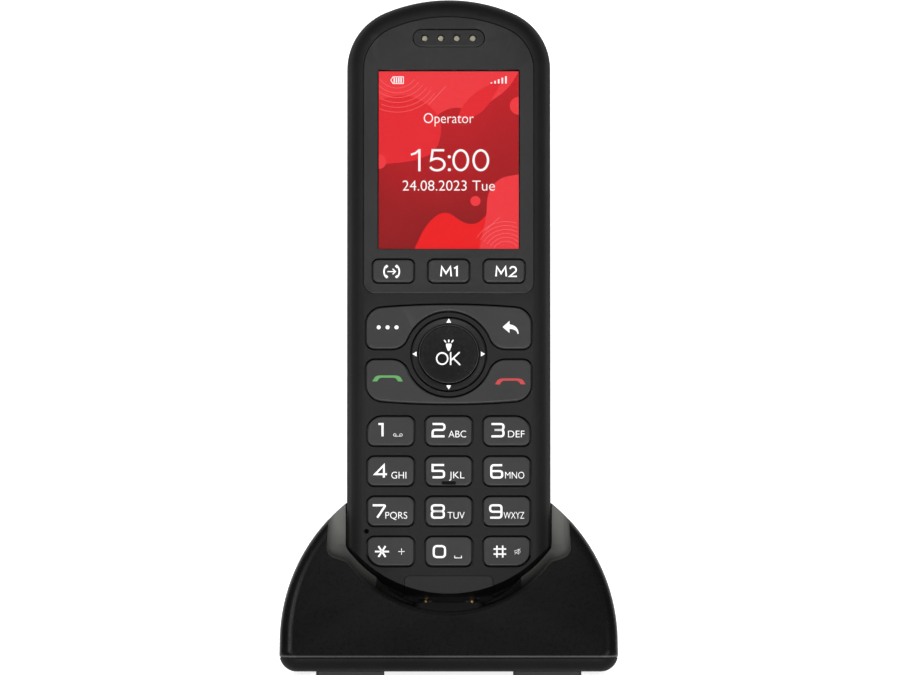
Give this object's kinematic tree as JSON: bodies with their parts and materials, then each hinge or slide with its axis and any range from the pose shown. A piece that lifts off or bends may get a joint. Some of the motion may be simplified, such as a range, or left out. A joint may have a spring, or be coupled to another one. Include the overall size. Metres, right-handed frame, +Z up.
{
  "type": "cordless phone with charging cradle",
  "caption": "Cordless phone handset with colour display and keypad, standing in a charging cradle with a scooped mouth and flared sides.",
  "frame": {"origin": "on the table under the middle of the cradle, at the height of the feet's undersides", "axes": "+Z up, the phone's face looks towards -Y, +X to the viewer's right"},
  "size_m": [0.0884, 0.0802, 0.1745],
  "materials": {
    "cradle_gloss": "deep gloss",
    "cradle_satin": "satin",
    "cradle_tray": "fine grain",
    "foot_rubber": "matt",
    "screw_steel": "zinc plated",
    "circuit_board": "solder mask",
    "socket_steel": "drawn",
    "pin_plastic": "fine grain",
    "pin_gold": "gold plated",
    "spring_steel": "drawn wire",
    "housing": "satin",
    "rear_housing": "fine grain",
    "chin_plastic": "satin",
    "contact_metal": "nickel plated",
    "fascia": "semi-gloss",
    "clear_lens": "clear",
    "grille": "satin",
    "display_panel": "lit display",
    "gasket_foam": "foam",
    "flex_film": "polyimide film",
    "silicone": "silicone",
    "dome_film": "film",
    "print_white": "screen print",
    "print_green": "screen print",
    "print_red": "screen print",
    "display_picture": "lit picture",
    "shield_tin": "tinned",
    "black_part": "moulded",
    "battery_wrap": "printed wrap",
    "speaker_part": "moulded",
    "key_plastic": "satin",
    "ok_plastic": "semi-gloss",
    "ring_plastic": "semi-gloss"
  },
  "bodies": {
    "base": {"base_shell": "cradle_gloss", "base_tray": "cradle_tray", "cradle_liner": "cradle_satin", "base_feet": "foot_rubber", "base_screws": "screw_steel", "base_pcb": "circuit_board", "power_socket": "socket_steel", "pin_block": "pin_plastic", "charge_spring_left": "spring_steel", "charge_spring_right": "spring_steel"},
    "charge_pin_left": {"charge_pin_left": "pin_gold"},
    "charge_pin_right": {"charge_pin_right": "pin_gold"},
    "handset": {"front_cover": "housing", "rear_cover": "rear_housing", "contact_carrier": "chin_plastic", "handset_contacts": "contact_metal", "fascia_panel": "fascia", "display_lens": "clear_lens", "earpiece_grille": "grille", "lcd_module": "display_panel", "display_gasket": "gasket_foam", "display_flex": "flex_film", "keypad_mat": "silicone", "dome_sheet": "dome_film", "main_pcb": "circuit_board", "shield_can": "shield_tin", "sim_holder": "shield_tin", "microphone": "black_part", "battery": "battery_wrap", "battery_contacts": "contact_metal", "loudspeaker": "speaker_part", "earpiece_speaker": "speaker_part", "antenna": "black_part", "torch_lens": "clear_lens", "torch_led": "dome_film", "handset_screws": "screw_steel"},
    "battery_cover": {"battery_cover": "rear_housing"},
    "rocker_upper": {"rocker_upper": "key_plastic"},
    "rocker_lower": {"rocker_lower": "key_plastic"},
    "nav_carrier": {"nav_carrier": "black_part"},
    "nav_ring": {"nav_ring": "ring_plastic"},
    "key_1": {"key_1": "key_plastic"},
    "key_2": {"key_2": "key_plastic"},
    "key_3": {"key_3": "key_plastic"},
    "key_4": {"key_4": "key_plastic"},
    "key_5": {"key_5": "key_plastic"},
    "key_6": {"key_6": "key_plastic"},
    "key_7": {"key_7": "key_plastic"},
    "key_8": {"key_8": "key_plastic"},
    "key_9": {"key_9": "key_plastic"},
    "key_star": {"key_star": "key_plastic"},
    "key_0": {"key_0": "key_plastic"},
    "key_hash": {"key_hash": "key_plastic"},
    "key_redial": {"key_redial": "key_plastic"},
    "key_memory_1": {"key_memory_1": "key_plastic"},
    "key_memory_2": {"key_memory_2": "key_plastic"},
    "key_ok": {"key_ok": "ok_plastic"}
  },
  "joints": [
    {"name": "handset_lift", "type": "slide", "parent": "base", "child": "handset", "axis": [0, 0.2588, 0.9659], "range_m": [0, 0.06]},
    {"name": "charge_pin_left_travel", "type": "slide", "parent": "base", "child": "charge_pin_left", "axis": [0, 0.2588, 0.9659], "range_m": [-0.0008, 0], "stiffness_N_per_m": 400, "deforming": ["charge_spring_left"]},
    {"name": "charge_pin_right_travel", "type": "slide", "parent": "base", "child": "charge_pin_right", "axis": [0, 0.2588, 0.9659], "range_m": [-0.0008, 0], "stiffness_N_per_m": 400, "deforming": ["charge_spring_right"]},
    {"name": "key_1_press", "type": "slide", "parent": "handset", "child": "key_1", "axis": [0, 0.9659, -0.2588], "range_m": [0, 0.00035], "stiffness_N_per_m": 2500},
    {"name": "key_2_press", "type": "slide", "parent": "handset", "child": "key_2", "axis": [0, 0.9659, -0.2588], "range_m": [0, 0.00035], "stiffness_N_per_m": 2500},
    {"name": "key_3_press", "type": "slide", "parent": "handset", "child": "key_3", "axis": [0, 0.9659, -0.2588], "range_m": [0, 0.00035], "stiffness_N_per_m": 2500},
    {"name": "key_4_press", "type": "slide", "parent": "handset", "child": "key_4", "axis": [0, 0.9659, -0.2588], "range_m": [0, 0.00035], "stiffness_N_per_m": 2500},
    {"name": "key_5_press", "type": "slide", "parent": "handset", "child": "key_5", "axis": [0, 0.9659, -0.2588], "range_m": [0, 0.00035], "stiffness_N_per_m": 2500},
    {"name": "key_6_press", "type": "slide", "parent": "handset", "child": "key_6", "axis": [0, 0.9659, -0.2588], "range_m": [0, 0.00035], "stiffness_N_per_m": 2500},
    {"name": "key_7_press", "type": "slide", "parent": "handset", "child": "key_7", "axis": [0, 0.9659, -0.2588], "range_m": [0, 0.00035], "stiffness_N_per_m": 2500},
    {"name": "key_8_press", "type": "slide", "parent": "handset", "child": "key_8", "axis": [0, 0.9659, -0.2588], "range_m": [0, 0.00035], "stiffness_N_per_m": 2500},
    {"name": "key_9_press", "type": "slide", "parent": "handset", "child": "key_9", "axis": [0, 0.9659, -0.2588], "range_m": [0, 0.00035], "stiffness_N_per_m": 2500},
    {"name": "key_star_press", "type": "slide", "parent": "handset", "child": "key_star", "axis": [0, 0.9659, -0.2588], "range_m": [0, 0.00035], "stiffness_N_per_m": 2500},
    {"name": "key_0_press", "type": "slide", "parent": "handset", "child": "key_0", "axis": [0, 0.9659, -0.2588], "range_m": [0, 0.00035], "stiffness_N_per_m": 2500},
    {"name": "key_hash_press", "type": "slide", "parent": "handset", "child": "key_hash", "axis": [0, 0.9659, -0.2588], "range_m": [0, 0.00035], "stiffness_N_per_m": 2500},
    {"name": "key_redial_press", "type": "slide", "parent": "handset", "child": "key_redial", "axis": [0, 0.9659, -0.2588], "range_m": [0, 0.00035], "stiffness_N_per_m": 2500},
    {"name": "key_memory_1_press", "type": "slide", "parent": "handset", "child": "key_memory_1", "axis": [0, 0.9659, -0.2588], "range_m": [0, 0.00035], "stiffness_N_per_m": 2500},
    {"name": "key_memory_2_press", "type": "slide", "parent": "handset", "child": "key_memory_2", "axis": [0, 0.9659, -0.2588], "range_m": [0, 0.00035], "stiffness_N_per_m": 2500},
    {"name": "key_ok_press", "type": "slide", "parent": "handset", "child": "key_ok", "axis": [0, 0.9659, -0.2588], "range_m": [0, 0.00035], "stiffness_N_per_m": 2500},
    {"name": "rocker_upper_rock", "type": "hinge", "parent": "handset", "child": "rocker_upper", "pos_m": [0, 0.00086, 0.09336], "axis": [0, 0.2588, 0.9659], "range_deg": [-1.2, 1.2], "stiffness_Nm_per_rad": 0.9},
    {"name": "rocker_lower_rock", "type": "hinge", "parent": "handset", "child": "rocker_lower", "pos_m": [0, -0.00535, 0.07017], "axis": [0, 0.2588, 0.9659], "range_deg": [-1.2, 1.2], "stiffness_Nm_per_rad": 0.9},
    {"name": "nav_tilt_up_down", "type": "hinge", "parent": "handset", "child": "nav_carrier", "pos_m": [0, -0.00181, 0.08165], "axis": [1, 0, 0], "range_deg": [-1.2, 1.2], "stiffness_Nm_per_rad": 0.3},
    {"name": "nav_tilt_sideways", "type": "hinge", "parent": "nav_carrier", "child": "nav_ring", "pos_m": [0, -0.00239, 0.0818], "axis": [0, 0.2588, 0.9659], "range_deg": [-1.2, 1.2], "stiffness_Nm_per_rad": 0.3},
    {"name": "battery_cover_off", "type": "slide", "parent": "handset", "child": "battery_cover", "axis": [0, 0.9659, -0.2588], "range_m": [0, 0.015]}
  ]
}
